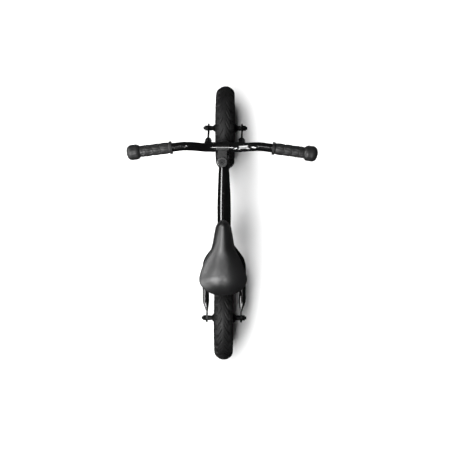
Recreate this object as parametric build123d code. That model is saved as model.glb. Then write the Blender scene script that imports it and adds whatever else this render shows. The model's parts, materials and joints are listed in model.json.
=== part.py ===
from build123d import *
import math
import os

os.makedirs("parts", exist_ok=True)

# ---------------------------------------------------------------------------
# Balance bike, 10 inch wheels.  Millimetres.
# Frame of reference: +X to the rider's right, +Y forward, +Z up.  The origin is
# on the ground, midway between the two axles, in the plane of symmetry.
# ---------------------------------------------------------------------------

# wheels
WHEEL_R = 128.0          # outer radius of the tyre
TYRE_W = 57.0            # width of the tyre section
WHEELBASE = 590.0
BEAD_R = 76.0            # bead seat radius of the rim
RIM_HALF = 16.5          # half width over the rim flanges
SPOKES = 5
AXLE_R = 5.0             # M10 solid axles
STUB_R = 4.8             # relieved end of the axle beyond each nut
HUB_HALF = 28.0          # half width of the moulded hub
BEARING_OUT = 26.0       # outer face of each hub bearing, from the centre
BEARING_W = 8.0
BEARING_R = 13.0
RUN = 0.05               # radial running clearance

# steering
HEAD_ANGLE = 74.0
HEAD_BOTTOM = (0.0, 217.6, 290.0)
HEAD_LEN = 109.0
HEAD_R = 17.0
STEERER_R = 12.7
STEERER_BORE = 11.1
QUILL_R = 11.05
FORK_LEG_X = 50.5
FORK_LEG_R = 10.0
FORK_LEG_END = -119.0    # along the steering axis, from the head tube's foot
FORK_PLATE_X = 51.5
PLATE_T = 5.0

# handlebar
BAR_R = 11.1
BAR_Y = 193.0
BAR_Z = 500.0
BAR_RISE = 30.0
BAR_SWEEP = 7.6          # degrees, backwards
GRIP_START = 127.0
BAR_END = 236.0
GRIP_LEN = 116.0

# main tube
MAIN_R_FRONT = 14.3
MAIN_R_REAR = 20.0
MAIN_WALL = 2.0

# rear triangle
STAY_R = 10.25
STAY_WALL = 1.8
STAY_X = 56.5
REAR_PLATE_X = 53.0

# seat
SEAT_BASE = (0.0, -70.0, 180.0)
SEAT_ANGLE = 72.0
SEAT_TUBE_R = 15.5
SEAT_TUBE_TOP = 70.0
POST_R = 12.7
POST_TOP_R = 11.1
SADDLE_Z = 320.0         # underside of the padding
SADDLE_H = 27.0
RAIL_R = 3.5
RAIL_X = 22.0

AXLE_Z = WHEEL_R
FRONT_Y = WHEELBASE / 2
REAR_Y = -WHEELBASE / 2

MIN = (Align.CENTER, Align.CENTER, Align.MIN)

head_rad = math.radians(HEAD_ANGLE)
STEER = Plane(
    origin=HEAD_BOTTOM,
    x_dir=(1, 0, 0),
    z_dir=(0, -math.cos(head_rad), math.sin(head_rad)),
)
seat_rad = math.radians(SEAT_ANGLE)
SEAT = Plane(
    origin=SEAT_BASE,
    x_dir=(1, 0, 0),
    z_dir=(0, -math.cos(seat_rad), math.sin(seat_rad)),
)


def save(name, shape):
    export_step(shape, f"parts/{name}.step")


def save_group(name, solids):
    flat = []
    for s in solids:
        flat.extend(s.solids())
    export_step(Compound(children=flat), f"parts/{name}.step")


def ring(r_out, r_in, z0, z1):
    body = Pos(0, 0, z0) * Cylinder(r_out, z1 - z0, align=MIN)
    if r_in:
        body -= Pos(0, 0, z0 - 1) * Cylinder(r_in, z1 - z0 + 2, align=MIN)
    return body


def xring(r_out, r_in, x0, x1, y=0.0, z=0.0):
    return Pos(0, y, z) * (Rot(0, 90, 0) * ring(r_out, r_in, x0, x1))


def turned(points):
    """Turned about Z from (radius, height) points."""
    return revolve(Plane.XZ * make_face(Polyline(*points, close=True)), Axis.Z)


def xturned(points):
    """Turned about X from (x, radius) points."""
    return revolve(Plane.XZ * make_face(Polyline(*points, close=True)), Axis.X)


def hexagon(across, thick, r_in, z0):
    body = Pos(0, 0, z0) * extrude(
        RegularPolygon(across / 2, 6, major_radius=False), thick
    )
    rim = turned([(0, z0), (across * 0.53, z0), (across * 0.575, z0 + thick * 0.15),
                  (across * 0.575, z0 + thick * 0.8), (across * 0.5, z0 + thick),
                  (0, z0 + thick)])
    body = body & rim
    if r_in:
        body -= Pos(0, 0, z0 - 1) * Cylinder(r_in, thick + 2, align=MIN)
    return body


def xhexagon(across, x0, x1, r_in, y, z):
    nut = hexagon(across, abs(x1 - x0), r_in, 0)
    turn = Rot(0, 90, 0) if x1 > x0 else Rot(0, -90, 0)
    return Pos(x0, y, z) * (turn * nut)


def swept(path, r_out, r_in=0.0):
    plane = Plane(path @ 0, z_dir=path % 0)
    body = sweep(plane * Circle(r_out), path=path)
    if r_in:
        body -= sweep(plane * Circle(r_in), path=path)
    return body


def mirrored(shape):
    return mirror(shape, about=Plane.YZ)


def yz_plate(sketch, x0, x1):
    """A flat plate: sketch in (y, z), between two x values."""
    return Pos(x0, 0, 0) * extrude(Plane.YZ * sketch, x1 - x0)


def hull_of(*circles):
    shapes = [Pos(y, z) * Circle(r) for y, z, r in circles]
    edges = []
    for s in shapes:
        edges.extend(s.edges())
    return make_hull(edges)


# ---------------------------------------------------------------------------
# Wheels, made once about the X axis and set down at each axle
# ---------------------------------------------------------------------------

half = TYRE_W / 2
top_in = WHEEL_R - 5.2

tyre_face = make_face(
    Line((9.8, BEAD_R), (13.5, BEAD_R))
    + Line((13.5, BEAD_R), (13.5, 82.6))
    + ThreePointArc((13.5, 82.6), (half, 102.5), (25.2, 114.6))
    + ThreePointArc((25.2, 114.6), (0, WHEEL_R), (-25.2, 114.6))
    + ThreePointArc((-25.2, 114.6), (-half, 102.5), (-13.5, 82.6))
    + Line((-13.5, 82.6), (-13.5, BEAD_R))
    + Line((-13.5, BEAD_R), (-9.8, BEAD_R))
    + Line((-9.8, BEAD_R), (-9.8, 82.4))
    + ThreePointArc((-9.8, 82.4), (-half + 3.0, 102.2), (-21.6, 112.2))
    + ThreePointArc((-21.6, 112.2), (0, top_in), (21.6, 112.2))
    + ThreePointArc((21.6, 112.2), (half - 3.0, 102.2), (9.8, 82.4))
    + Line((9.8, 82.4), (9.8, BEAD_R))
)
tyre = revolve(Plane.XZ * tyre_face, Axis.X)


def tube_face(g):
    """Section of the inner tube, drawn in by g."""
    return make_face(
        ThreePointArc((-8.8 + g, 82.6 + g * 0.4), (0, 75.6 + g), (8.8 - g, 82.6 + g * 0.4))
        + ThreePointArc((8.8 - g, 82.6 + g * 0.4), (half - 3.9 - g, 101.8), (20.9 - g, 111.4 - g * 0.5))
        + ThreePointArc((20.9 - g, 111.4 - g * 0.5), (0, top_in - 0.8 - g), (-20.9 + g, 111.4 - g * 0.5))
        + ThreePointArc((-20.9 + g, 111.4 - g * 0.5), (-half + 3.9 + g, 101.8), (-8.8 + g, 82.6 + g * 0.4))
    )


tube_solid = revolve(Plane.XZ * tube_face(0), Axis.X)
inner_tube = tube_solid - revolve(Plane.XZ * tube_face(1.2), Axis.X)

rim = xturned([
    (-RIM_HALF, 82.0), (-13.5, 82.0), (-13.5, BEAD_R), (-9.2, BEAD_R), (-8.0, 74.0),
    (8.0, 74.0), (9.2, BEAD_R), (13.5, BEAD_R), (13.5, 82.0), (RIM_HALF, 82.0),
    (RIM_HALF, 71.0), (13.0, 65.5), (5.0, 64.0), (-5.0, 64.0), (-13.0, 65.5),
    (-RIM_HALF, 71.0),
])


def web_points(cut):
    return [
        (HUB_HALF - cut * 0.2, 17.0), (24.0 - cut, 22.5), (17.5 - cut, 38.0),
        (13.5 - cut, 54.0), (12.5 - cut, 66.5), (-12.5 + cut, 66.5),
        (-13.5 + cut, 54.0), (-17.5 + cut, 38.0), (-24.0 + cut, 22.5),
        (-HUB_HALF + cut * 0.2, 17.0), (-HUB_HALF + cut * 0.2, 5.0),
        (HUB_HALF - cut * 0.2, 5.0),
    ]


web = xturned(web_points(0))
web_core = xturned(web_points(4.5))


def spoke_sketch(r0, r1, w0, w1, angle):
    return Rot(0, 0, angle) * make_face(
        Polyline((r0, -w0), (r1, -w1), (r1, w1), (r0, w0), close=True)
    )


# the star is drawn in a plane across the axle and run through the full width
star = Circle(21.0)
pocket_sketches = []
for i in range(SPOKES):
    a = 90.0 + i * 360.0 / SPOKES
    star += spoke_sketch(0.0, 69.0, 12.5, 8.5, a)
    pocket_sketches.append(spoke_sketch(26.0, 60.5, 6.6, 4.6, a))
star_solid = Pos(-40, 0, 0) * extrude(Plane.YZ * star, 80)
wheel_body = (web & star_solid) + rim
for side in (-1, 1):
    for sk in pocket_sketches:
        cutter = Pos(0 if side > 0 else -40, 0, 0) * extrude(Plane.YZ * sk, 40)
        wheel_body -= cutter - web_core
# bearing seats and the clear bore between them
wheel_body -= xring(BEARING_R, 0, BEARING_OUT - BEARING_W, 40)
wheel_body -= xring(BEARING_R, 0, -40, -(BEARING_OUT - BEARING_W))
wheel_body -= xring(10.5, 0, -40, 40)
# valve hole, midway between the two lowest spokes
VALVE_ANGLE = 270.0
valve_turn = Rot(VALVE_ANGLE - 90.0, 0, 0)
wheel_body -= valve_turn * ring(4.4, 0, 55.0, 90.0)

valve_stem = ring(4.1, 1.4, 52.0, 66.0) + ring(4.4, 1.4, 66.0, 79.5)
valve_stem += ring(3.4, 1.4, 44.0, 52.0)
valve_stem = valve_turn * valve_stem - tube_solid
valve_cap = valve_turn * (
    turned([(3.4, 44.0), (4.9, 44.0), (4.9, 51.0), (3.4, 51.0)])
    + turned([(0, 43.8), (0, 40.0), (3.6, 40.0), (4.9, 41.5), (4.9, 44.0), (0, 44.0)])
)

bearings = []
for s in (-1, 1):
    x0, x1 = sorted((s * (BEARING_OUT - BEARING_W), s * BEARING_OUT))
    b = xring(BEARING_R, AXLE_R + RUN, x0, x1)
    # grooves between the races, where the seals sit
    for xa, xb in ((x0, x0 + 0.8), (x1 - 0.8, x1)):
        b -= xring(11.0, 8.2, xa, xb)
    bearings.append(b)

for name, y in (("front", FRONT_Y), ("rear", REAR_Y)):
    place = Pos(0, y, AXLE_Z)
    save(f"{name}_wheel_moulding", place * wheel_body)
    save(f"{name}_tyre", place * tyre)
    save(f"{name}_inner_tube", place * inner_tube)
    save(f"{name}_valve_stem", place * valve_stem)
    save(f"{name}_valve_cap", place * valve_cap)
    save_group(f"{name}_wheel_bearings", [place * b for b in bearings])


def axle_set(name, y, plate_x):
    """Axle, hub sleeve, cones, washers and nuts, for plates at +-plate_x."""
    inner = plate_x - PLATE_T / 2
    outer = plate_x + PLATE_T / 2
    place = Pos(0, y, AXLE_Z)
    end = outer + 1.5 + 8.0 + 4.5
    stub = outer + 9.5
    axle = xturned([
        (-end, 0), (-end, STUB_R - 0.8), (-end + 0.8, STUB_R), (-stub, STUB_R),
        (-stub, AXLE_R), (stub, AXLE_R), (stub, STUB_R), (end - 0.8, STUB_R),
        (end, STUB_R - 0.8), (end, 0),
    ])
    save(f"{name}_axle", place * axle)
    gap = 0.3
    sleeve_end = BEARING_OUT - BEARING_W - gap
    save(f"{name}_hub_sleeve", place * xring(7.0, AXLE_R, -sleeve_end, sleeve_end))
    cone = xturned([
        (BEARING_OUT + gap, AXLE_R), (BEARING_OUT + gap, 6.9), (28.7, 6.9),
        (28.7, 14.2), (29.9, 14.6), (31.0, 13.6), (38.0, 6.8), (40.5, 6.8),
        (42.0, 7.7), (inner, 7.7), (inner, AXLE_R),
    ])
    save_group(f"{name}_axle_cones", [place * cone, place * mirrored(cone)])
    washer = xring(9.5, AXLE_R, outer, outer + 1.5)
    save_group(f"{name}_axle_washers", [place * washer, place * mirrored(washer)])
    nut_r = xhexagon(15.0, outer + 1.5, outer + 9.5, AXLE_R, 0, 0)
    save_group(f"{name}_axle_nuts", [place * nut_r, place * mirrored(nut_r)])


axle_set("front", FRONT_Y, FORK_PLATE_X)
axle_set("rear", REAR_Y, REAR_PLATE_X)

# ---------------------------------------------------------------------------
# Fork: steerer, two bent legs, two flat ends
# ---------------------------------------------------------------------------

steerer = ring(STEERER_R, STEERER_BORE, -34.0, 134.0)
steer = STEER.location


def steer_point(x, y, z):
    return STEER.from_local_coords(Vector(x, y, z))


leg_path = FilletPolyline(
    (FORK_LEG_X, 0, FORK_LEG_END), (FORK_LEG_X, 0, -27.5), (0, 0, -24.5), radius=30.0
)
leg = swept(leg_path, FORK_LEG_R, FORK_LEG_R - 1.8)
leg -= ring(STEERER_R, 0, -60, 20)
leg -= Pos(-60, 0, -30) * Box(120, 120, 200)
leg_tip = Pos(FORK_LEG_X, 0, FORK_LEG_END) * (
    Sphere(FORK_LEG_R) & Pos(0, 0, -20) * Box(40, 40, 40)
)
leg = leg + leg_tip

foot = steer_point(0, 0, FORK_LEG_END)
tab_top = steer_point(0, 0, FORK_LEG_END + 14)
front_plate = hull_of(
    (foot.Y, foot.Z, 7.6), (tab_top.Y, tab_top.Z, 7.6)
) + hull_of((foot.Y, foot.Z, 7.6), (foot.Y + 3, foot.Z - 3, 7.6), (FRONT_Y, AXLE_Z, 14.0))
front_plate -= hull_of((FRONT_Y, AXLE_Z, AXLE_R), (FRONT_Y - 5, AXLE_Z - 25, AXLE_R))
fp_r = yz_plate(front_plate, FORK_PLATE_X - PLATE_T / 2, FORK_PLATE_X + PLATE_T / 2)
leg_r = steer * leg - fp_r
save("fork_steerer", steer * steerer)
save("fork_leg_right", leg_r)
save("fork_leg_left", mirrored(leg_r))
save("fork_dropout_right", fp_r)
save("fork_dropout_left", mirrored(fp_r))

# ---------------------------------------------------------------------------
# Headset
# ---------------------------------------------------------------------------

lower_cup = turned([
    (13.7, 9), (15.0, 9), (15.0, 0), (19.2, 0), (19.2, -7), (18.4, -9), (17.0, -9),
    (17.0, -3), (13.7, -3),
])
lower_bearing = ring(16.9, 13.7, -8.6, -3.1)
crown_race = turned([
    (STEERER_R, -5.5), (13.3, -5.5), (13.3, -9.4), (18.4, -9.4), (18.4, -12.0),
    (16.5, -14.0), (STEERER_R, -14.0),
])
upper_cup = turned([
    (13.7, HEAD_LEN - 9), (15.0, HEAD_LEN - 9), (15.0, HEAD_LEN), (19.2, HEAD_LEN),
    (19.2, HEAD_LEN + 7), (18.4, HEAD_LEN + 9), (17.0, HEAD_LEN + 9),
    (17.0, HEAD_LEN + 3), (13.7, HEAD_LEN + 3),
])
upper_bearing = ring(16.9, 13.7, HEAD_LEN + 3.1, HEAD_LEN + 8.6)
top_race = turned([
    (STEERER_R, HEAD_LEN + 5.5), (13.3, HEAD_LEN + 5.5), (13.3, HEAD_LEN + 9.4),
    (18.6, HEAD_LEN + 9.4), (18.6, HEAD_LEN + 13.0), (17.6, HEAD_LEN + 16.0),
    (STEERER_R, HEAD_LEN + 16.0),
])
lock_washer = ring(17.2, STEERER_R, HEAD_LEN + 16.0, HEAD_LEN + 17.6)
locknut = hexagon(32.0, 8.4, STEERER_R, HEAD_LEN + 17.6)
save("headset_lower_cup", steer * lower_cup)
save("headset_lower_bearing", steer * lower_bearing)
save("headset_crown_race", steer * crown_race)
save("headset_upper_cup", steer * upper_cup)
save("headset_upper_bearing", steer * upper_bearing)
save("headset_top_race", steer * top_race)
save("headset_lock_washer", steer * lock_washer)
save("headset_locknut", steer * locknut)

# ---------------------------------------------------------------------------
# Frame
# ---------------------------------------------------------------------------

head_tube = ring(HEAD_R, 15.0, 0, HEAD_LEN)
save("head_tube", steer * head_tube)

main_arc = ThreePointArc((0, 206, 337), (0, 62, 240), (0, -96, 174))


def main_loft(shrink):
    sections = []
    for t, r in ((0.0, MAIN_R_FRONT), (0.16, MAIN_R_FRONT + 0.3), (0.34, 17.6),
                 (0.5, 19.7), (0.7, MAIN_R_REAR), (1.0, MAIN_R_REAR)):
        p = main_arc @ t
        d = main_arc % t
        plane = Plane(origin=p, x_dir=(1, 0, 0), z_dir=d)
        sections.append(plane * Circle(r - shrink))
    return loft(sections)


main_outer = main_loft(0)
# a domed cap closes the rear end
cap_plane = Plane(origin=main_arc @ 1, x_dir=(1, 0, 0), z_dir=main_arc % 1)
cap_dome = cap_plane.location * turned(
    [(0, 0), (MAIN_R_REAR, 0), (MAIN_R_REAR - 0.8, 3.0), (MAIN_R_REAR - 4.5, 6.5),
     (9.0, 8.6), (0, 9.2)]
)
main_full = main_outer + cap_dome
seat_bore = SEAT.location * ring(POST_R + 0.8, 0, -4, 60)
main_tube = main_full - main_loft(MAIN_WALL)
head_solid = steer * ring(HEAD_R, 0, -4, HEAD_LEN + 4)
main_tube -= head_solid
main_tube -= seat_bore
main_tube = max(main_tube.solids(), key=lambda s: s.volume)
save("main_tube", main_tube)

seat_tube = SEAT.location * ring(SEAT_TUBE_R, POST_R + RUN, 0, SEAT_TUBE_TOP)
seat_tube -= main_full
# compression slot at the back of the top end
seat_tube -= SEAT.location * (
    Pos(0, -SEAT_TUBE_R, SEAT_TUBE_TOP - 10) * Box(2.0, 16.0, 24.0)
)
seat_tube = max(seat_tube.solids(), key=lambda s: s.volume)
save("seat_tube", seat_tube)

stay_path = FilletPolyline(
    (8.0, -55.0, 176.0), (STAY_X, -118.0, 163.0), (STAY_X, -243.0, 137.0), radius=62.0
)
stay = swept(stay_path, STAY_R, STAY_R - STAY_WALL)
stay_end = Vector(STAY_X, -243.0, 137.0)
end_dir = Vector(0, -125.0, -26.0).normalized()
neck_a = Plane(origin=stay_end, x_dir=(1, 0, 0), z_dir=end_dir)
neck_m = Plane(origin=(54.6, -259.0, 133.9), x_dir=(1, 0, 0), z_dir=end_dir)
neck_b = Plane(origin=(REAR_PLATE_X, -272.0, 131.8), x_dir=(1, 0, 0), z_dir=(0, -1, -0.12))
neck = loft([
    neck_a * Circle(STAY_R),
    neck_m * Ellipse(6.6, 11.2),
    neck_b * Ellipse(3.6, 12.4),
])
stay = stay + neck
rear_plate = hull_of((-272.5, 131.7, 10.5), (REAR_Y, AXLE_Z, 14.0))
rear_plate -= hull_of((REAR_Y, AXLE_Z, AXLE_R), (REAR_Y - 12, AXLE_Z - 25, AXLE_R))
rp_r = yz_plate(rear_plate, REAR_PLATE_X - PLATE_T / 2, REAR_PLATE_X + PLATE_T / 2)
seat_outer = SEAT.location * ring(SEAT_TUBE_R, 0, -4, SEAT_TUBE_TOP)
stay_r = stay - main_full - seat_outer - rp_r
stay_r = max(stay_r.solids(), key=lambda s: s.volume)
save("stay_right", stay_r)
save("stay_left", mirrored(stay_r))
save("rear_dropout_right", rp_r)
save("rear_dropout_left", mirrored(rp_r))

# ---------------------------------------------------------------------------
# Seat clamp collar, post, saddle clamp and saddle
# ---------------------------------------------------------------------------

COLLAR_Z0 = SEAT_TUBE_TOP - 13.0
COLLAR_Z1 = SEAT_TUBE_TOP + 1.0
collar = ring(SEAT_TUBE_R + 3.6, SEAT_TUBE_R, COLLAR_Z0, COLLAR_Z1)
collar_mid = (COLLAR_Z0 + COLLAR_Z1) / 2
lugs = Pos(0, -SEAT_TUBE_R - 6.0, collar_mid) * Box(19.0, 13.0, 13.0)
lugs = fillet(lugs.edges().filter_by(Axis.X), 3.0)
collar = collar + (lugs - ring(SEAT_TUBE_R + 0.5, 0, COLLAR_Z0 - 2, COLLAR_Z1 + 2))
collar -= Pos(0, -SEAT_TUBE_R - 6.0, collar_mid) * Box(2.4, 24.0, 30.0)
bolt_y = -SEAT_TUBE_R - 7.6
collar -= Pos(0, bolt_y, collar_mid) * (Rot(0, 90, 0) * ring(2.5, 0, -30, 30))
collar = collar.solids()[0] if len(collar.solids()) == 1 else collar
seat_bolt = ring(2.5, 0, -15.5, 9.5) + (ring(4.3, 0, 9.5, 14.5))
seat_bolt -= Pos(0, 0, 11.5) * extrude(RegularPolygon(2.0, 6, major_radius=False), 6)
seat_nut = hexagon(8.0, 4.0, 2.5, 0)
seat_nut = Pos(0, 0, -9.5) * (Rot(180, 0, 0) * seat_nut)
bolt_place = SEAT.location * Pos(0, bolt_y, collar_mid) * Rot(0, 90, 0)
save("seat_clamp_collar", SEAT.location * collar)
save("seat_clamp_bolt", bolt_place * seat_bolt)
save("seat_clamp_nut", bolt_place * seat_nut)

# the post is stepped: thick in the seat tube, thin in the saddle clamp
CORE_Z0, CORE_Z1 = 90.0, 112.0
post = turned([
    (POST_R - 2.0, 8.0), (POST_R, 8.0), (POST_R, 84.0), (POST_TOP_R, 87.0),
    (POST_TOP_R, 111.0), (POST_TOP_R - 2.0, 111.0), (POST_TOP_R - 2.0, 86.0),
    (POST_R - 2.0, 83.0),
])
save("seat_post", SEAT.location * post)

clamp_axis = SEAT.from_local_coords(Vector(0, 0, 120.0))
CY, CZ = clamp_axis.Y, clamp_axis.Z
core = SEAT.location * ring(POST_TOP_R + 4.2, 0, CORE_Z0, CORE_Z1 + 3.0)
core += xring(13.0, 0, -15.0, 15.0, CY, CZ)
core -= SEAT.location * ring(POST_TOP_R, 0, CORE_Z0 - 2, 111.0)
core -= xring(4.0 + RUN, 0, -30, 30, CY, CZ)
save("saddle_clamp_core", core)

RAIL_Z = CZ + 11.5
cheeks = []
for s in (-1, 1):
    for x0, x1, grip in ((15.3, 21.8, 1), (22.2, 28.6, 1)):
        face = hull_of((CY, CZ, 13.0), (CY - 9.5, RAIL_Z + 0.3, 4.5), (CY + 9.5, RAIL_Z + 0.3, 4.5))
        plate = yz_plate(face, x0, x1)
        plate -= xring(4.0, 0, 0, 60, CY, CZ)
        groove = Pos(RAIL_X, CY, RAIL_Z) * (Rot(90, 0, 0) * Cylinder(RAIL_R + RUN, 80))
        plate -= groove
        cheeks.append(plate if s > 0 else mirrored(plate))
save_group("saddle_clamp_cheeks", cheeks)
clamp_bolt = xring(4.0, 0, -36.5, 36.5, CY, CZ)
save("saddle_clamp_bolt", clamp_bolt)
save_group("saddle_clamp_nuts", [
    xhexagon(13.0, 28.6, 35.1, 4.0, CY, CZ),
    mirrored(xhexagon(13.0, 28.6, 35.1, 4.0, CY, CZ)),
])

# half widths of the saddle outline, from nose to tail
OUTLINE = [
    (4.6, 8.6), (-1.4, 14.8), (-8.2, 18.6), (-13.8, 20.7), (-25.0, 22.9), (-36.2, 25.0),
    (-47.4, 26.7), (-58.6, 28.6), (-69.8, 31.3), (-78.2, 34.6), (-91.4, 41.2),
    (-104.0, 48.0), (-119.1, 54.9), (-129.4, 59.0), (-139.8, 62.4), (-152.7, 65.6),
    (-160.8, 66.5), (-170.0, 65.2), (-178.4, 61.4), (-187.0, 53.8), (-195.0, 43.0),
    (-201.2, 28.0),
]
NOSE_Y, TAIL_Y = 7.2, -205.0


def saddle_outline(inset):
    right = [(w - inset, y if y > -150 else y + inset * 0.8) for y, w in OUTLINE]
    pts = [(0.0, NOSE_Y - inset)] + right + [(0.0, TAIL_Y + inset)]
    pts += [(-x, y) for x, y in reversed(right)]
    return make_face(Spline(*pts, periodic=True))


cushion = Pos(0, 0, SADDLE_Z) * extrude(saddle_outline(0), SADDLE_H)
try:
    cushion = fillet(cushion.edges().group_by(Axis.Z)[-1], 11.0)
except Exception:
    pass
save("saddle_cushion", cushion)

PAN_Z0 = SADDLE_Z - 5.0
pan = Pos(0, 0, PAN_Z0) * extrude(saddle_outline(3.0), 5.0)
rail_pts = [
    (27.0, -181.0, PAN_Z0 - 4.5), (27.0, -166.0, PAN_Z0 - 4.5), (RAIL_X, -146.0, RAIL_Z),
    (RAIL_X, -68.0, RAIL_Z), (10.0, -36.0, PAN_Z0 - 4.5), (8.5, -14.0, PAN_Z0 - 4.5),
]
rail_path = FilletPolyline(*rail_pts, radius=12.0)
rail = swept(rail_path, RAIL_R)
rails = [rail, mirrored(rail)]
for s in (-1, 1):
    pan += Pos(s * 27.0, -174.0, PAN_Z0 - 4.5) * Box(14.0, 18.0, 9.0 + 0.02)
pan += Pos(0, -21.0, PAN_Z0 - 4.5) * Box(32.0, 18.0, 9.0 + 0.02)
for r in rails:
    pan -= r
save("saddle_base", max(pan.solids(), key=lambda s: s.volume))
save_group("saddle_rails", rails)

# ---------------------------------------------------------------------------
# Quill stem
# ---------------------------------------------------------------------------

bar_local = STEER.to_local_coords(Vector(0, BAR_Y, BAR_Z))
BY, BZ = bar_local.Y, bar_local.Z
QUILL_BOTTOM = 52.0
BOSS_TOP = 228.0
quill = ring(QUILL_R, 4.6, QUILL_BOTTOM - 10, BZ)
slant = Plane(origin=(0, 0, QUILL_BOTTOM), x_dir=(1, 0, 0), z_dir=(0, -0.5, 0.866))
half_space = slant.location * (Pos(0, 0, -60) * Box(80, 80, 120))
quill -= half_space
boss = ring(13.6, 4.6, BZ - 14, BOSS_TOP)
boss_fillet = fillet(boss.edges().group_by(Axis.Z)[-1], 1.6)
boss = boss_fillet
bridge_side = hull_of((0.0, BZ - 2, 9.5), (BY, BZ, 10.0)) + hull_of(
    (0.0, BOSS_TOP - 9.0, 6.5), (BY, BZ + 3.5, 10.5))
bridge = yz_plate(bridge_side, -11.5, 11.5)
bar_clamp = xring(15.2, 0, -16.5, 16.5, BY, BZ)
lug_side = make_face(Polyline(
    (BY - 10.5, BZ - 22.0), (BY + 8.5, BZ - 22.0), (BY + 10.5, BZ - 10.0),
    (BY - 10.5, BZ - 10.0), close=True))
lug = yz_plate(lug_side, -8.5, 8.5)
stem_body = boss + bar_clamp + bridge + lug
stem_body -= ring(4.6, 0, 100, 300)
stem_body = stem_body + quill
# counterbore for the head of the expander bolt
stem_body -= ring(7.2, 0, BOSS_TOP - 6.0, BOSS_TOP + 20)
stem_body -= xring(BAR_R + RUN, 0, -40, 40, BY, BZ)
stem_body -= Pos(0, BY, BZ - 18.0) * Box(60.0, 2.6, 20.0)
stem_body -= Pos(0, BY, BZ - 17.4) * (Rot(90, 0, 0) * ring(2.5, 0, -30, 30))
stem_body = max(stem_body.solids(), key=lambda s: s.volume)
save("stem_body", steer * stem_body)

wedge = ring(10.9, 4.0, QUILL_BOTTOM - 26, QUILL_BOTTOM + 12)
wedge = wedge & half_space
wedge = max(wedge.solids(), key=lambda s: s.volume)
save("stem_wedge", steer * wedge)
expander = ring(4.0, 0, QUILL_BOTTOM - 28, BOSS_TOP - 6.0)
expander += ring(6.6, 0, BOSS_TOP - 6.0, BOSS_TOP + 2.0)
expander -= Pos(0, 0, BOSS_TOP - 3.0) * extrude(
    RegularPolygon(3.0, 6, major_radius=False), 10)
save("stem_expander_bolt", steer * expander)
sb = ring(2.5, 0, -10.5, 10.5) + ring(4.4, 0, 10.5, 15.5)
sb -= Pos(0, 0, 12.5) * extrude(RegularPolygon(2.0, 6, major_radius=False), 6)
save("stem_clamp_bolt", steer * (Pos(0, BY, BZ - 17.4) * (Rot(90, 0, 0) * sb)))

# ---------------------------------------------------------------------------
# Handlebar and grips
# ---------------------------------------------------------------------------

sweep_rad = math.radians(BAR_SWEEP)
GRIP_Z = BAR_Z + BAR_RISE
BEND_X = 100.0
end_y = BAR_Y - (BAR_END - BEND_X) * math.tan(sweep_rad)
bar_pts = [
    (-BAR_END, end_y, GRIP_Z), (-BEND_X, BAR_Y, GRIP_Z), (-78.0, BAR_Y, GRIP_Z),
    (-42.0, BAR_Y, BAR_Z), (42.0, BAR_Y, BAR_Z), (78.0, BAR_Y, GRIP_Z),
    (BEND_X, BAR_Y, GRIP_Z), (BAR_END, end_y, GRIP_Z),
]
bar_path = FilletPolyline(*bar_pts, radius=[80.0, 38.0, 38.0, 38.0, 38.0, 80.0])
bar = swept(bar_path, BAR_R, BAR_R - 1.8)
save("handlebar_tube", bar)

grip_dir = Vector(math.cos(sweep_rad), -math.sin(sweep_rad), 0)
g0 = Vector(GRIP_START, BAR_Y - (GRIP_START - BEND_X) * math.tan(sweep_rad), GRIP_Z)
bar_left = (Vector(BAR_END, end_y, GRIP_Z) - g0).length
profile = [(BAR_R, 0), (15.6, 0), (16.8, 1.0), (16.8, 4.2), (15.4, 5.4), (13.6, 6.2)]
for i in range(8):
    z = 8.5 + i * 9.2
    profile += [(14.4, z), (14.4, z + 4.6), (13.7, z + 5.6), (13.7, z + 8.2)]
profile = [(0, bar_left + 0.2), (BAR_R, bar_left + 0.2)] + profile + [(14.3, 82.0)]
# a round bulb stops the hand at the outer end
grip_face = make_face(
    Polyline(*profile)
    + ThreePointArc((14.3, 82.0), (18.2, 86.2), (19.6, 94.0))
    + Line((19.6, 94.0), (19.6, 99.5))
    + ThreePointArc((19.6, 99.5), (17.2, 109.6), (10.5, 114.4))
    + Polyline((10.5, 114.4), (7.0, 115.4), (3.5, 115.9), (0, GRIP_LEN))
    + Line((0, GRIP_LEN), (0, bar_left + 0.2))
)
grip = revolve(Plane.XZ * grip_face, Axis.Z)
grip_plane = Plane(origin=g0, x_dir=(0, 0, 1), z_dir=grip_dir)
grip_r = grip_plane.location * grip
save("grip_right", grip_r)
save("grip_left", mirrored(grip_r))

print("bar in the steering frame", BY, BZ)
print("saddle clamp axis", CY, CZ, "rail", RAIL_Z)
print("grip outer end", (g0 + grip_dir * GRIP_LEN).X)
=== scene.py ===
import json
import math

import bmesh
import bpy
from mathutils import Matrix, Vector


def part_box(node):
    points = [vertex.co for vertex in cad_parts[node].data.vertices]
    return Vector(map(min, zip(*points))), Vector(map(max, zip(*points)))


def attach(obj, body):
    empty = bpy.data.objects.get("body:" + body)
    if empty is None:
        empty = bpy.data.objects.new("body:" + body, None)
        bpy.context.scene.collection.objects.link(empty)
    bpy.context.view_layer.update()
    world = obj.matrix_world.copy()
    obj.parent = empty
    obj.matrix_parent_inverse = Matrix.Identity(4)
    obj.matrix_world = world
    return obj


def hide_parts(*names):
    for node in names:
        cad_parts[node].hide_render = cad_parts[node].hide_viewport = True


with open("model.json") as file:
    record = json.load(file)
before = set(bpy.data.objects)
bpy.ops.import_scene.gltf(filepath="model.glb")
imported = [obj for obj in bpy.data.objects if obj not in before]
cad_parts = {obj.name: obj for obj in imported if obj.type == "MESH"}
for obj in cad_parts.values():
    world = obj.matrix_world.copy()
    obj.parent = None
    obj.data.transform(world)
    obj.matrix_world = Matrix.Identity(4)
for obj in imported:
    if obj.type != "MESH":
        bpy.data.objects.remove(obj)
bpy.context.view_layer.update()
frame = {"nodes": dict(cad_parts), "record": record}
NODES = frame["nodes"]
scene = bpy.context.scene

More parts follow.
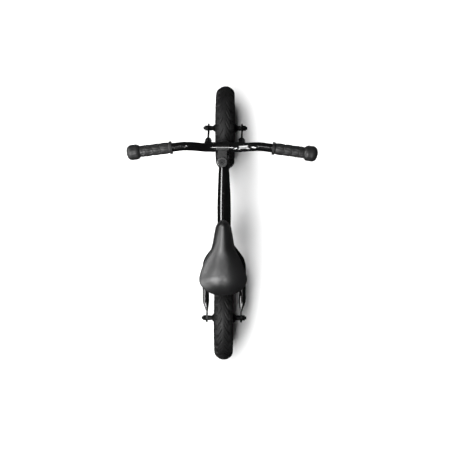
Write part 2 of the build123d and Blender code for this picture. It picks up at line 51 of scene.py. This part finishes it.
# ---------------------------------------------------------------------------
# Camera: straight above, the front of the bike up the picture
# ---------------------------------------------------------------------------

cam_data = bpy.data.cameras.new("camera")
cam_data.sensor_width = 36.0
cam_data.lens = 36.0 * 698.0 / 450.0
cam_data.clip_end = 50.0
cam_data.dof.use_dof = False
cam_data.shift_x = -0.029
cam = bpy.data.objects.new("camera", cam_data)
cam.location = (0.0416, -0.006, 2.3)
cam.rotation_euler = (0.0, 0.0, 0.0072)
scene.collection.objects.link(cam)
scene.camera = cam
scene.view_settings.view_transform = "Standard"
scene.view_settings.look = "None"
scene.view_settings.exposure = 0.0
scene.view_settings.gamma = 1.0

# ---------------------------------------------------------------------------
# Materials
# ---------------------------------------------------------------------------


class Tree:
    """Small helper for one material's nodes."""

    def __init__(self, name):
        self.mat = bpy.data.materials.new(name)
        self.mat.use_nodes = True
        self.nt = self.mat.node_tree
        self.nt.nodes.clear()
        self.out = self.nt.nodes.new("ShaderNodeOutputMaterial")
        self.bsdf = self.nt.nodes.new("ShaderNodeBsdfPrincipled")
        self.nt.links.new(self.bsdf.outputs[0], self.out.inputs[0])
        self.coord = self.nt.nodes.new("ShaderNodeTexCoord")

    def link(self, a, b):
        self.nt.links.new(a, b)

    def noise(self, scale, detail=4.0, rough=0.55, vec=None, dist=0.0):
        n = self.nt.nodes.new("ShaderNodeTexNoise")
        n.inputs["Scale"].default_value = scale
        n.inputs["Detail"].default_value = detail
        n.inputs["Roughness"].default_value = rough
        n.inputs["Distortion"].default_value = dist
        self.link(vec or self.coord.outputs["Object"], n.inputs["Vector"])
        return n.outputs["Fac"]

    def voronoi(self, scale, feature="DISTANCE_TO_EDGE", vec=None):
        n = self.nt.nodes.new("ShaderNodeTexVoronoi")
        n.feature = feature
        n.inputs["Scale"].default_value = scale
        self.link(vec or self.coord.outputs["Object"], n.inputs["Vector"])
        return n.outputs["Distance"]

    def stretch(self, sx, sy, sz):
        n = self.nt.nodes.new("ShaderNodeMapping")
        n.inputs["Scale"].default_value = (sx, sy, sz)
        self.link(self.coord.outputs["Object"], n.inputs["Vector"])
        return n.outputs["Vector"]

    def ramp(self, fac, stops):
        n = self.nt.nodes.new("ShaderNodeValToRGB")
        el = n.color_ramp.elements
        while len(el) < len(stops):
            el.new(0.5)
        for e, (p, c) in zip(el, stops):
            e.position = p
            e.color = (*c, 1.0) if isinstance(c, (tuple, list)) else (c, c, c, 1.0)
        self.link(fac, n.inputs["Fac"])
        return n.outputs["Color"]

    def range(self, fac, lo, hi, f0=0.0, f1=1.0):
        n = self.nt.nodes.new("ShaderNodeMapRange")
        n.inputs["From Min"].default_value = f0
        n.inputs["From Max"].default_value = f1
        n.inputs["To Min"].default_value = lo
        n.inputs["To Max"].default_value = hi
        self.link(fac, n.inputs["Value"])
        return n.outputs["Result"]

    def math(self, op, a, b=None):
        n = self.nt.nodes.new("ShaderNodeMath")
        n.operation = op
        for i, v in enumerate((a, b)):
            if v is None:
                continue
            if isinstance(v, (int, float)):
                n.inputs[i].default_value = v
            else:
                self.link(v, n.inputs[i])
        return n.outputs[0]

    def mix(self, fac, a, b):
        n = self.nt.nodes.new("ShaderNodeMix")
        n.data_type = "RGBA"
        self.link(fac, n.inputs["Factor"])
        for key, v in ((6, a), (7, b)):
            if isinstance(v, (tuple, list)):
                n.inputs[key].default_value = (*v, 1.0)
            else:
                self.link(v, n.inputs[key])
        return n.outputs[2]

    def bump(self, height, strength, distance, normal=None):
        n = self.nt.nodes.new("ShaderNodeBump")
        n.inputs["Strength"].default_value = strength
        n.inputs["Distance"].default_value = distance
        self.link(height, n.inputs["Height"])
        if normal is not None:
            self.link(normal, n.inputs["Normal"])
        return n.outputs["Normal"]

    def base(self, c):
        self.link(c, self.bsdf.inputs["Base Color"])

    def rough(self, c):
        self.link(c, self.bsdf.inputs["Roughness"])

    def normal(self, c):
        self.link(c, self.bsdf.inputs["Normal"])

    def set(self, **kw):
        for k, v in kw.items():
            self.bsdf.inputs[k.replace("_", " ")].default_value = v
        return self


def paint(name, dark, light, rough0, rough1, coat):
    """Gloss or satin black paint: faint orange peel, dust, hairline scratches."""
    t = Tree(name)
    cloud = t.noise(14.0, 5.0)
    dust = t.noise(900.0, 2.0)
    c = t.ramp(cloud, [(0.3, dark), (0.7, light)])
    speck = t.ramp(dust, [(0.66, 0.0), (0.76, 1.0)])
    c = t.mix(speck, c, tuple(min(1.0, v * 2.6) for v in light))
    t.base(c)
    scratch = t.noise(60.0, 6.0, 0.7, t.stretch(1.0, 14.0, 14.0))
    r = t.range(t.math("ADD", t.math("MULTIPLY", cloud, 0.6), t.math("MULTIPLY", scratch, 0.4)),
                rough0, rough1, 0.35, 0.65)
    t.rough(r)
    peel = t.noise(420.0, 2.0, 0.5)
    n = t.bump(peel, 0.10, 0.0006)
    n = t.bump(scratch, 0.05, 0.0003, n)
    t.normal(n)
    t.set(Metallic=0.0, Coat_Weight=coat, Coat_Roughness=0.06)
    return t.mat


def zinc(name, dark, light, rough0, rough1, metallic):
    t = Tree(name)
    cloud = t.noise(120.0, 5.0)
    c = t.ramp(cloud, [(0.3, dark), (0.72, light)])
    t.base(c)
    brushed = t.noise(300.0, 4.0, 0.6, t.stretch(0.3, 4.0, 4.0))
    t.rough(t.range(brushed, rough0, rough1, 0.3, 0.7))
    t.normal(t.bump(brushed, 0.18, 0.0002))
    t.set(Metallic=metallic)
    return t.mat


def plastic(name, dark, light, rough0, rough1, grain=1300.0, strength=0.25):
    """Moulded plastic: spark-eroded grain, faint flow marks."""
    t = Tree(name)
    flow = t.noise(22.0, 4.0, 0.5, None, 0.6)
    t.base(t.ramp(flow, [(0.3, dark), (0.7, light)]))
    fine = t.noise(grain, 3.0, 0.6)
    t.rough(t.range(fine, rough0, rough1, 0.3, 0.7))
    t.normal(t.bump(fine, strength, 0.0003))
    return t.mat


def rubber(name, dark, light, rough0, rough1, dusty, spec=0.35):
    """Tyre and grip rubber: mould bloom, fine pores, specks of dust."""
    t = Tree(name)
    bloom = t.noise(30.0, 6.0, 0.6)
    c = t.ramp(bloom, [(0.32, dark), (0.7, light)])
    spots = t.ramp(t.noise(700.0, 3.0, 0.6), [(0.55, 0.0), (0.75, 1.0)])
    c = t.mix(t.math("MULTIPLY", spots, dusty), c, (0.08, 0.078, 0.075))
    t.base(c)
    t.rough(t.range(bloom, rough0, rough1, 0.3, 0.7))
    pores = t.noise(1500.0, 3.0, 0.6)
    scuff = t.noise(180.0, 5.0, 0.65)
    n = t.bump(pores, 0.22, 0.0003)
    n = t.bump(scuff, 0.15, 0.0006, n)
    t.normal(n)
    t.set(**{"Specular_IOR_Level": spec})
    return t.mat


def leatherette(name):
    """Saddle cover: fine pebbled grain with painted shade in the creases between the pebbles, soft sheen, worn smoother
    in patches.
    """
    t = Tree(name)
    wear = t.noise(9.0, 4.0)
    c = t.ramp(wear, [(0.3, (0.004, 0.004, 0.0042)), (0.7, (0.008, 0.008, 0.0083))])
    cells = t.voronoi(760.0)
    # painted shade: the creases between the pebbles are coloured darker than the pebble tops
    painted_crease_shade = t.ramp(cells, [(0.0, 1.0), (0.12, 0.0)])
    c = t.mix(painted_crease_shade, c, (0.002, 0.002, 0.0022))
    t.base(c)
    t.rough(t.range(wear, 0.30, 0.42, 0.3, 0.7))
    pebbles = t.ramp(cells, [(0.0, 0.0), (0.28, 1.0)])
    soft = t.noise(70.0, 3.0)
    n = t.bump(pebbles, 0.30, 0.00025)
    n = t.bump(soft, 0.12, 0.0016, n)
    t.normal(n)
    t.set(**{"Specular_IOR_Level": 0.62, "Sheen_Weight": 0.06, "Sheen_Roughness": 0.4})
    return t.mat


def thread_mat(name):
    t = Tree(name)
    twist = t.noise(2600.0, 3.0, 0.5, t.stretch(1.0, 3.0, 1.0))
    t.base(t.ramp(twist, [(0.3, (0.02, 0.02, 0.021)), (0.7, (0.06, 0.06, 0.062))]))
    t.rough(t.range(twist, 0.5, 0.75))
    t.normal(t.bump(twist, 0.5, 0.0003))
    return t.mat


M = {
    "frame_paint": paint("black_gloss_paint", (0.0012,) * 3, (0.0026, 0.0026, 0.0027), 0.14, 0.22, 0.9),
    "plate_paint": paint("black_plate_paint", (0.0014,) * 3, (0.003, 0.003, 0.0031), 0.20, 0.30, 0.5),
    "bar_paint": paint("black_bar_paint", (0.0012,) * 3, (0.0026, 0.0026, 0.0027), 0.13, 0.21, 0.9),
    "clamp_paint": paint("black_satin_paint", (0.0015,) * 3, (0.0034, 0.0034, 0.0035), 0.24, 0.34, 0.4),
    "black_steel": zinc("black_zinc", (0.003,) * 3, (0.009, 0.009, 0.0095), 0.28, 0.42, 0.6),
    "plain_steel": zinc("turned_steel", (0.33, 0.33, 0.34), (0.5, 0.5, 0.51), 0.22, 0.36, 1.0),
    "bearing_steel": zinc("bearing_steel", (0.26, 0.26, 0.27), (0.42, 0.42, 0.43), 0.18, 0.3, 1.0),
    "wheel_plastic": plastic("black_composite", (0.003,) * 3, (0.006, 0.006, 0.0062), 0.34, 0.46, 900.0, 0.2),
    "tyre_rubber": rubber("tyre_rubber", (0.0045,) * 3, (0.009, 0.009, 0.0092), 0.50, 0.64, 0.05, 0.22),
    "tube_rubber": rubber("butyl_rubber", (0.006,) * 3, (0.012, 0.012, 0.0123), 0.5, 0.65, 0.03),
    "cap_plastic": plastic("cap_plastic", (0.004,) * 3, (0.008, 0.008, 0.0083), 0.25, 0.35, 1600.0, 0.12),
    "grip_rubber": rubber("grip_rubber", (0.007,) * 3, (0.013, 0.013, 0.0133), 0.42, 0.56, 0.03),
    "saddle_leatherette": leatherette("black_leatherette"),
    "saddle_plastic": plastic("saddle_shell_plastic", (0.003,) * 3, (0.006, 0.006, 0.0062), 0.3, 0.42),
    "rail_steel": paint("black_rail_coating", (0.002,) * 3, (0.005, 0.005, 0.0052), 0.25, 0.36, 0.3),
    "thread": thread_mat("black_thread"),
}

record = frame["record"]
SLOT_OF = {s["node"]: s.get("material_slot") for s in record.get("subparts", [])}
for n, o in NODES.items():
    mat = M[SLOT_OF[n]]
    o.data.materials.clear()
    o.data.materials.append(mat)

# ---------------------------------------------------------------------------
# Mesh helpers
# ---------------------------------------------------------------------------


def new_object(name, verts, faces, mat, smooth=True):
    me = bpy.data.meshes.new(name)
    me.from_pydata([tuple(v) for v in verts], [], faces)
    me.update()
    bm = bmesh.new()
    bm.from_mesh(me)
    bmesh.ops.remove_doubles(bm, verts=bm.verts, dist=1e-7)
    bmesh.ops.recalc_face_normals(bm, faces=bm.faces)
    bm.to_mesh(me)
    bm.free()
    for p in me.polygons:
        p.use_smooth = smooth
    me.materials.append(mat)
    o = bpy.data.objects.new(name, me)
    scene.collection.objects.link(o)
    return o


def grid_faces(rows, cols, wrap_rows, wrap_cols):
    faces = []
    for i in range(rows if wrap_rows else rows - 1):
        i2 = (i + 1) % rows
        for j in range(cols if wrap_cols else cols - 1):
            j2 = (j + 1) % cols
            faces.append((i * cols + j, i * cols + j2, i2 * cols + j2, i2 * cols + j))
    return faces


def smoothstep(a, b, x):
    if a == b:
        return 0.0 if x < a else 1.0
    t = min(1.0, max(0.0, (x - a) / (b - a)))
    return t * t * (3 - 2 * t)


def lerp(a, b, t):
    return a + (b - a) * t


# ---------------------------------------------------------------------------
# Tyres: a closed section swept round, with moulded tread and sidewall
# ---------------------------------------------------------------------------

R = 0.128
HALF = 0.0285
PITCHES = 24
STEPS = 28            # grid steps to one pitch of the tread


def arc3(p0, p1, p2, n):
    """n+1 points on the circle through three points."""
    (x0, y0), (x1, y1), (x2, y2) = p0, p1, p2
    d = 2 * (x0 * (y1 - y2) + x1 * (y2 - y0) + x2 * (y0 - y1))
    ux = ((x0**2 + y0**2) * (y1 - y2) + (x1**2 + y1**2) * (y2 - y0) + (x2**2 + y2**2) * (y0 - y1)) / d
    uy = ((x0**2 + y0**2) * (x2 - x1) + (x1**2 + y1**2) * (x0 - x2) + (x2**2 + y2**2) * (x1 - x0)) / d
    r = math.hypot(x0 - ux, y0 - uy)
    a0, a1, a2 = (math.atan2(y - uy, x - ux) for x, y in (p0, p1, p2))
    two = 2 * math.pi
    span = (a2 - a0) % two
    if not (a1 - a0) % two <= span:
        span -= two
    return [(ux + r * math.cos(a0 + span * i / n), uy + r * math.sin(a0 + span * i / n)) for i in range(n + 1)]


def tyre_section():
    """Points (x, r, kind, v): kind 1 for tread with v in -1..1, 2 for sidewall, 0 for the inside."""
    pts = []
    side = arc3((0.0135, 0.0826), (HALF, 0.1025), (0.0252, 0.1146), 16)
    for i, (x, r) in enumerate(side[:-1]):
        pts.append((x, r, 2, i / 16.0))
    crown = arc3((0.0252, 0.1146), (0.0, R), (-0.0252, 0.1146), 56)
    for i, (x, r) in enumerate(crown):
        pts.append((x, r, 1, 1.0 - 2.0 * i / 56.0))
    for i, (x, r) in enumerate(reversed(side[:-1])):
        pts.append((-x, r, 2, 1.0 - (i + 1) / 16.0))
    pts.append((-0.0135, 0.0762, 0, 0))
    pts.append((-0.0099, 0.0762, 0, 0))
    inner = arc3((-0.0099, 0.0824), (-HALF + 0.003, 0.1022), (-0.0216, 0.1122), 5)
    inner += arc3((-0.0216, 0.1122), (0, R - 0.0052), (0.0216, 0.1122), 8)[1:]
    inner += arc3((0.0216, 0.1122), (HALF - 0.003, 0.1022), (0.0099, 0.0824), 5)[1:]
    pts += [(x, r, 0, 0) for x, r in inner]
    pts.append((0.0099, 0.0762, 0, 0))
    pts.append((0.0135, 0.0762, 0, 0))
    return pts


GAP = 0.40            # share of a pitch taken by the gap between two shoulder lugs


def lug_gap(f):
    """1 in the middle of a shoulder gap, 0 on a lug. f is the place in the pitch."""
    d = min(f, 1.0 - f)
    return 1.0 - smoothstep(GAP / 2 - 0.045, GAP / 2 + 0.045, d)


def tread_depth(u, v):
    """Depth in metres below the outer profile. u counts pitches round the tyre, v runs -1..1 across the tread."""
    a = abs(v)
    side = 0.0 if v >= 0 else 0.5
    depth = 0.0
    # leaning grooves from the centre rib out to the shoulder blocks
    if 0.07 < a < 0.66:
        for shift, wide, deep, a0, a1 in ((0.0, 0.075, 0.0024, 0.07, 0.66), (0.5, 0.045, 0.0015, 0.16, 0.54)):
            if a0 < a < a1:
                f = (u + side + shift - 1.5 * (a - 0.07) ** 0.9) % 1.0
                d = min(f, 1.0 - f)
                ends = smoothstep(a0, a0 + 0.05, a) * (1.0 - smoothstep(a1 - 0.05, a1, a))
                depth = max(depth, deep * ends * (1.0 - smoothstep(wide * 0.6, wide * 1.3, d)))
    # zigzag groove between the centre and the shoulder blocks
    tri = abs(((u + side) % 1.0) - 0.5) * 2.0
    zig = 0.62 + 0.05 * (tri - 0.5)
    depth = max(depth, 0.0021 * (1.0 - smoothstep(0.022, 0.05, abs(a - zig))))
    # shoulder lugs with wide gaps
    if a > zig:
        f = (u + side - 0.95) % 1.0
        depth = max(depth, 0.0034 * lug_gap(f) * smoothstep(zig, zig + 0.05, a))
    return depth


def make_tyre_mesh(name):
    sec = tyre_section()
    cols = len(sec)
    rows = PITCHES * STEPS
    verts = []
    for i in range(rows):
        ang = 2 * math.pi * i / rows
        u = i / STEPS
        ca, sa = math.cos(ang), math.sin(ang)
        for x, r, kind, v in sec:
            xx, rr = x, r
            if kind == 1:
                # towards the middle of the section, so that grooves cut square
                dx, dr = -x, 0.103 - r
                ln = math.hypot(dx, dr)
                d = tread_depth(u, v)
                xx += dx / ln * d
                rr += dr / ln * d
            elif kind == 2:
                # side lugs that run down from the shoulder, two fine rings and a rim line
                dx, dr = -(x), 0.103 - r
                ln = math.hypot(dx, dr)
                up = v
                side = 0.0 if x >= 0 else 0.5
                f = (u + side - 0.95) % 1.0
                lug = 0.0
                if up > 0.62:
                    lug = lug_gap(f) * smoothstep(0.62, 0.82, up) * 0.0034
                groove = 0.0
                for at, wide, deep in ((0.58, 0.03, 0.0011), (0.30, 0.02, 0.0007), (0.22, 0.02, 0.0007)):
                    groove = max(groove, deep * (1.0 - smoothstep(wide * 0.5, wide * 1.4, abs(up - at))))
                d = max(lug, groove)
                xx += dx / ln * d
                rr += dr / ln * d
            verts.append((xx, rr * ca, rr * sa))
    faces = grid_faces(rows, cols, True, True)
    me = bpy.data.meshes.new(name)
    me.from_pydata(verts, [], faces)
    me.update()
    bm = bmesh.new()
    bm.from_mesh(me)
    bmesh.ops.recalc_face_normals(bm, faces=bm.faces)
    bm.to_mesh(me)
    bm.free()
    for p in me.polygons:
        p.use_smooth = True
    me.materials.append(M["tyre_rubber"])
    return me


for which, y, body in (("front", 0.295, "front_wheel"), ("rear", -0.295, "rear_wheel")):
    me = make_tyre_mesh(f"{which}_tyre_tread")
    me.transform(Matrix.Translation((0.0, y, 0.128)))
    o = bpy.data.objects.new(f"{which}_tyre_tread", me)
    scene.collection.objects.link(o)
    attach(o, body)
    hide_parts(f"{which}_tyre")

# ---------------------------------------------------------------------------
# Grips: turned body with waisted ribs, a double inner flange and a bulb end
# ---------------------------------------------------------------------------

SWEEP = math.radians(7.6)
GRIP_START = 0.127
BEND_X = 0.100
G0 = Vector((GRIP_START, 0.193 - (GRIP_START - BEND_X) * math.tan(SWEEP), 0.530))
GDIR = Vector((math.cos(SWEEP), -math.sin(SWEEP), 0.0))
GLEN = 0.116
BAR_END_T = (Vector((0.236, 0.193 - (0.236 - BEND_X) * math.tan(SWEEP), 0.530)) - G0).length


BULB = []
for part_of in (arc3((14.3, 82.0), (18.2, 86.2), (19.6, 94.0), 14), [(19.6, 94.0), (19.6, 99.5)],
                arc3((19.6, 99.5), (17.2, 109.6), (10.5, 114.4), 18), [(10.5, 114.4), (7.0, 115.4), (3.5, 115.9), (0.0, 116.0)]):
    for r_, s_ in part_of:
        if not BULB or s_ > BULB[-1][0] + 1e-6:
            BULB.append((s_, r_))


def bulb_radius(s):
    for (s0, r0), (s1, r1) in zip(BULB, BULB[1:]):
        if s <= s1:
            return lerp(r0, r1, (s - s0) / (s1 - s0))
    return 0.0


def grip_radius(s, ang):
    """Radius in mm at s mm from the inner end, round the grip at ang."""
    if s < 5.6:
        # flange with two lips
        base = 16.8
        lip = 1.3 * (1.0 - smoothstep(0.0, 1.1, abs(s - 2.8)))
        return base - lip - 0.9 * (1 - smoothstep(0.0, 0.8, s)) - 0.9 * smoothstep(4.9, 5.6, s)
    if s < 82.0:
        neck = lerp(15.9, 13.6, smoothstep(5.6, 8.0, s))
        neck = lerp(neck, 13.9, smoothstep(60.0, 82.0, s))
        inside = smoothstep(8.5, 12.0, s) * (1.0 - smoothstep(76.5, 80.5, s))
        # long raised panels, whose edges wave round the fingers, cut by three cross breaks
        wave = 0.16 * math.sin(2 * math.pi * (s - 10.0) / 22.0)
        f = (ang * 9.0 / (2 * math.pi) + wave) % 1.0
        d = min(f, 1.0 - f)
        raised = smoothstep(0.05, 0.13, d)
        for at in (30.0, 49.0, 67.0):
            raised *= smoothstep(0.5, 1.5, abs(s - at - 2.0 * math.sin(ang * 3.0)))
        fingers = 0.3 * math.sin(2 * math.pi * (s - 14.5) / 22.0)
        return neck + inside * (0.95 * raised + fingers)
    r = bulb_radius(s)
    # faint swirled flutes over the bulb
    swirl = 0.5 + 0.5 * math.cos(ang * 12.0 + (s - 82.0) * 0.09)
    return max(0.0, r - 0.30 * swirl * smoothstep(86.0, 90.0, s) * (1.0 - smoothstep(108.0, 113.0, s)))


def make_grip(name, sign, body):
    ss = [0.0, 0.4, 0.8, 1.4, 2.0, 2.4, 2.8, 3.2, 3.6, 4.4, 4.9, 5.3, 5.6, 6.2, 6.8, 7.4]
    s = 8.0
    while s < 81.0:
        ss.append(s)
        s += 0.42
    s = 81.0
    while s < 104.0:
        ss.append(s)
        s += 0.5
    for i in range(0, 25):
        t = i / 24.0
        ss.append(104.0 + (116.0 - 104.0) * math.sin(t * math.pi / 2))
    cols = 144
    verts = []
    up = Vector((0, 0, 1))
    d = Vector((GDIR.x * sign, GDIR.y, 0))
    g0 = Vector((G0.x * sign, G0.y, G0.z))
    side = d.cross(up)
    ring = []
    # bore from the far end of the hole back to the inner face
    bore = [(BAR_END_T * 1000 + 0.2, 0.0), (BAR_END_T * 1000 + 0.2, 11.1), (0.0, 11.1)]
    prof = [(b, None, r) for b, r in bore] + [(q, q, None) for q in ss]
    for place, q, fixed in prof:
        for j in range(cols):
            a = 2 * math.pi * j / cols
            r = fixed if fixed is not None else grip_radius(q, a)
            if q is not None and q >= 115.999:
                r = 0.0
            p = g0 + d * (place / 1000) + (up * math.cos(a) + side * math.sin(a)) * (r / 1000)
            verts.append(p)
    faces = grid_faces(len(prof), cols, False, True)
    o = new_object(name, verts, faces, M["grip_rubber"])
    # drop the collapsed faces at the two tips
    bm = bmesh.new()
    bm.from_mesh(o.data)
    bmesh.ops.dissolve_degenerate(bm, dist=1e-7, edges=bm.edges)
    bmesh.ops.recalc_face_normals(bm, faces=bm.faces)
    bm.to_mesh(o.data)
    bm.free()
    for p in o.data.polygons:
        p.use_smooth = True
    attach(o, body)
    return o


for side_name, sg in (("right", 1), ("left", -1)):
    g = make_grip(f"{side_name}_grip_ribbed", sg, "handlebar")
    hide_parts(f"grip_{side_name}")

# ---------------------------------------------------------------------------
# Saddle: crowned cover and an edge strip
# ---------------------------------------------------------------------------

lo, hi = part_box("saddle_cushion")
NOSE_Y, TAIL_Y = hi[1], lo[1]
Z_LOW, Z_TOP = lo[2], hi[2]
OUTLINE = [
    (7.2, 0.0), (6.5, 4.6), (4.6, 8.6), (1.8, 12.0), (-1.4, 14.8), (-8.2, 18.6), (-13.8, 20.7),
    (-25.0, 22.9), (-36.2, 25.0), (-47.4, 26.7), (-58.6, 28.6), (-69.8, 31.3), (-78.2, 34.6),
    (-91.4, 41.2), (-104.0, 48.0), (-119.1, 54.9), (-129.4, 59.0), (-139.8, 62.4),
    (-152.7, 65.6), (-160.8, 66.4), (-170.0, 65.0), (-178.4, 61.2), (-187.0, 53.6),
    (-195.0, 42.6), (-201.0, 28.4), (-204.0, 14.5), (-205.0, 0.0),
]


def catmull(pts, per):
    out = []
    n = len(pts)
    for i in range(n - 1):
        p0 = pts[max(0, i - 1)]
        p1, p2 = pts[i], pts[i + 1]
        p3 = pts[min(n - 1, i + 2)]
        if i == 0:
            p0 = (p2[0], -p2[1])
        if i == n - 2:
            p3 = (p1[0], -p1[1])
        for k in range(per):
            t = k / per
            out.append(tuple(
                0.5 * ((2 * p1[c]) + (-p0[c] + p2[c]) * t + (2 * p0[c] - 5 * p1[c] + 4 * p2[c] - p3[c]) * t * t
                       + (-p0[c] + 3 * p1[c] - 3 * p2[c] + p3[c]) * t ** 3)
                for c in (0, 1)))
    out.append(pts[-1])
    return out


HALF_OUT = [(y / 1000, w / 1000) for y, w in catmull(OUTLINE, 6)]
right = [(w, y) for y, w in HALF_OUT]
left = [(-w, y) for y, w in HALF_OUT[-2:0:-1]]
LOOP = right + left               # closed outline, nose first, clockwise seen from above
NLOOP = len(LOOP)


def spine(y):
    """Where the rings shrink to: the middle line, kept off the two ends."""
    return max(TAIL_Y + 0.058, min(NOSE_Y - 0.016, y))


def crown_height(x, y):
    """Height of the top surface over the base at full crown, in metres."""
    t = (NOSE_Y - y) / (NOSE_Y - TAIL_Y)
    ridge = lerp(0.0262, 0.0252, smoothstep(0.0, 0.35, t))
    ridge = lerp(ridge, 0.0312, smoothstep(0.42, 0.80, t))
    # two gentle cheeks at the back with a shallow dip between them
    dip = 0.0008 * math.exp(-(x / 0.014) ** 2) * smoothstep(0.30, 0.55, t)
    return ridge - dip


def saddle_grid(levels):
    verts = []
    for s, zf in levels:
        for x, y in LOOP:
            cy = spine(y)
            # follow the outline inwards
            px = x * s
            py = cy + (y - cy) * s
            h = crown_height(px, py) + 0.0012
            verts.append((px, py, Z_LOW + h * zf))
    return verts


levels = []
# underside lip, edge, then over the crown
for s, zf in ((0.90, 0.0), (0.965, 0.0), (0.985, 0.02), (0.996, 0.07), (1.0, 0.16), (1.0, 0.26)):
    levels.append((s, zf))
for i in range(1, 27):
    a = i / 26.0 * math.pi / 2
    s = math.cos(a)
    z = 0.26 + (1.0 - 0.26) * (1.0 - s * s) ** 0.88
    levels.append((max(0.0, s), min(1.0, z)))
levels[-1] = (0.0, 1.0)
verts = saddle_grid(levels[:-1])
# middle line of the top
rows = len(levels) - 1
faces = []
for i in range(rows - 1):
    for j in range(NLOOP):
        j2 = (j + 1) % NLOOP
        faces.append((i * NLOOP + j, i * NLOOP + j2, (i + 1) * NLOOP + j2, (i + 1) * NLOOP + j))
# close the top strip across the middle by pairing the right and left points
top = (rows - 1) * NLOOP
half_n = len(right)
for j in range(half_n - 1):
    a0 = top + j
    a1 = top + j + 1
    b0 = top + ((NLOOP - j) % NLOOP)
    b1 = top + ((NLOOP - j - 1) % NLOOP)
    if a1 == b1:
        faces.append((a0, a1, b0))
    elif a0 == b0:
        faces.append((a0, a1, b1))
    else:
        faces.append((a0, a1, b1, b0))
for j in range(half_n - 1):
    a0 = j
    a1 = j + 1
    b0 = (NLOOP - j) % NLOOP
    b1 = (NLOOP - j - 1) % NLOOP
    if a1 == b1:
        faces.append((b0, a1, a0))
    elif a0 == b0:
        faces.append((b1, a1, a0))
    else:
        faces.append((b0, b1, a1, a0))
saddle = new_object("saddle_cover", verts, faces, M["saddle_leatherette"])
mod = saddle.modifiers.new("round", "SUBSURF")
mod.levels = 1
mod.render_levels = 1
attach(saddle, "saddle")
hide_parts("saddle_cushion")


def level_loop(s, zf, lift):
    pts = []
    for x, y in LOOP:
        cy = spine(y)
        px, py = x * s, cy + (y - cy) * s
        pts.append(Vector((px, py, Z_LOW + (crown_height(px, py) + 0.0012) * zf + lift)))
    return pts


def tube_along(name, pts, radius, mat, body, closed=True, sides=10, flat=1.0):
    verts = []
    n = len(pts)
    for i, p in enumerate(pts):
        a = pts[(i - 1) % n] if closed or i > 0 else p
        b = pts[(i + 1) % n] if closed or i < n - 1 else p
        d = (b - a).normalized()
        side = d.cross(Vector((0, 0, 1))).normalized()
        up = side.cross(d).normalized()
        for k in range(sides):
            t = 2 * math.pi * k / sides
            verts.append(p + side * (radius * math.cos(t)) + up * (radius * flat * math.sin(t)))
    faces = grid_faces(n, sides, closed, True)
    if not closed:
        faces.append(tuple(range(sides - 1, -1, -1)))
        faces.append(tuple((n - 1) * sides + k for k in range(sides)))
    o = new_object(name, verts, faces, mat)
    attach(o, body)
    return o


# the edge strip that holds the cover to its base
edge = tube_along("saddle_edge_strip", level_loop(0.992, 0.0, 0.0004), 0.0019, M["saddle_plastic"], "saddle", flat=1.15)

# ---------------------------------------------------------------------------
# Floor and light
# ---------------------------------------------------------------------------

floor_me = bpy.data.meshes.new("studio_floor")
S = 6.0
floor_me.from_pydata([(-S, -S, 0), (S, -S, 0), (S, S, 0), (-S, S, 0)], [], [(0, 1, 2, 3)])
floor = bpy.data.objects.new("studio_floor", floor_me)
scene.collection.objects.link(floor)
ft = Tree("pale_floor")
ft.base(ft.ramp(ft.noise(3.0, 2.0), [(0.3, (0.93, 0.93, 0.93)), (0.7, (0.95, 0.95, 0.95))]))
ft.set(Roughness=0.9)
floor_me.materials.append(ft.mat)

world = bpy.data.worlds.new("studio")
scene.world = world
world.use_nodes = True
world.node_tree.nodes["Background"].inputs[0].default_value = (1.0, 1.0, 1.0, 1.0)
world.node_tree.nodes["Background"].inputs[1].default_value = 0.022


def area(name, loc, target, size_x, size_y, power):
    d = bpy.data.lights.new(name, "AREA")
    d.shape = "RECTANGLE"
    d.size = size_x
    d.size_y = size_y
    d.energy = power
    d.color = (1.0, 1.0, 1.0)
    o = bpy.data.objects.new(name, d)
    o.location = loc
    direction = Vector(target) - Vector(loc)
    o.rotation_euler = direction.to_track_quat("-Z", "Y").to_euler()
    scene.collection.objects.link(o)
    return o


# overhead, a little to the left: lights the floor, and its edge over the bike gives the short shadows to the right
key = area("key", (-0.55, 0.0, 2.6), (-0.55, 0.0, 0.0), 1.0, 3.0, 155.0)
key.visible_glossy = False
# upright soft boxes along the left side: the line of light down every tube
for part_name, wall_y, wall_long, wall_power in (("wall_front", 0.62, 1.2, 25.0), ("wall_rear", -1.15, 1.60, 34.0)):
    wall = area(part_name, (-1.7, wall_y, 0.95), (0.0, wall_y, 0.40), wall_long, 0.55, wall_power)
    wall.visible_diffuse = False
# higher soft box on the left: the broad sheen on the saddle and the grips
high = area("high", (-0.80, -0.65, 2.15), (0.0, -0.12, 0.45), 1.2, 0.45, 66.0)
high.visible_diffuse = False
# small panel over the camera: the glints on the handlebar
top_panel = area("top", (0.0, 0.15, 2.75), (0.0, 0.15, 0.0), 0.22, 0.5, 8.0)
top_panel.visible_diffuse = False
# the floor is seen by the camera, but it isn't mirrored in the paint
floor.visible_glossy = False
